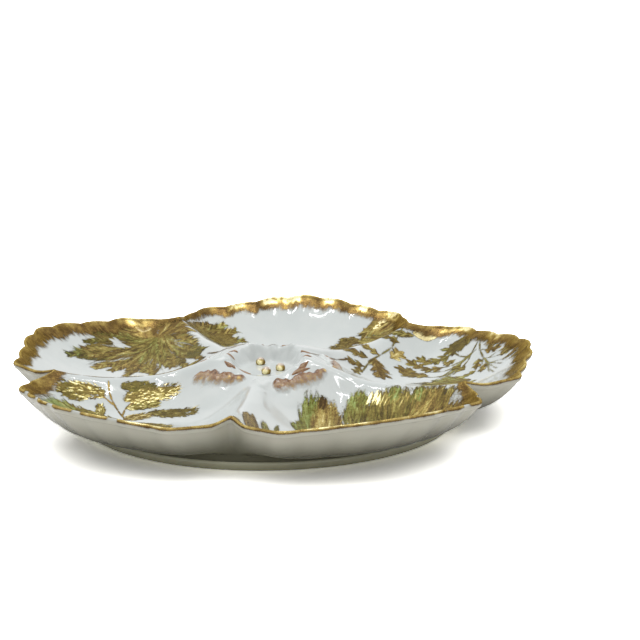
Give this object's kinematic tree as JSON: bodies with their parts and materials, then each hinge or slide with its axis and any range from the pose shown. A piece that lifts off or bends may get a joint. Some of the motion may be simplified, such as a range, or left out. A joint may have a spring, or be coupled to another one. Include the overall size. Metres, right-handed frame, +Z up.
{
  "type": "oyster plate",
  "caption": "Round porcelain serving plate with shell-shaped wells around a raised middle, on a low foot ring, with gilded scalloped edges and moulded coral, leaf and pearl ornament.",
  "frame": {"origin": "centre of the foot ring's standing face, on the plate's own axis", "axes": "+Z up along the plate's axis, +Y from the centre through the middle of one shell, +X to the right of it seen from above"},
  "size_m": [0.1956, 0.1942, 0.0255],
  "materials": {
    "white_glaze": "gloss",
    "foot_glaze": "gloss",
    "gilding": "satin",
    "coral_enamel": "gloss",
    "leaf_enamel": "gloss",
    "pearl_gilding": "polished"
  },
  "bodies": {
    "root": {"plate_body": "white_glaze", "foot_ring": "foot_glaze", "gilt_edge_1": "gilding", "gilt_edge_2": "gilding", "gilt_edge_3": "gilding", "gilt_edge_4": "gilding", "gilt_edge_5": "gilding", "coral_sprig_1": "coral_enamel", "coral_sprig_2": "coral_enamel", "coral_sprig_3": "coral_enamel", "coral_sprig_4": "coral_enamel", "coral_sprig_5": "coral_enamel", "leaf_sprig_1": "leaf_enamel", "leaf_sprig_2": "leaf_enamel", "leaf_sprig_3": "leaf_enamel", "leaf_sprig_4": "leaf_enamel", "leaf_sprig_5": "leaf_enamel", "pearl_1": "pearl_gilding", "pearl_2": "pearl_gilding", "pearl_3": "pearl_gilding"}
  },
  "joints": []
}
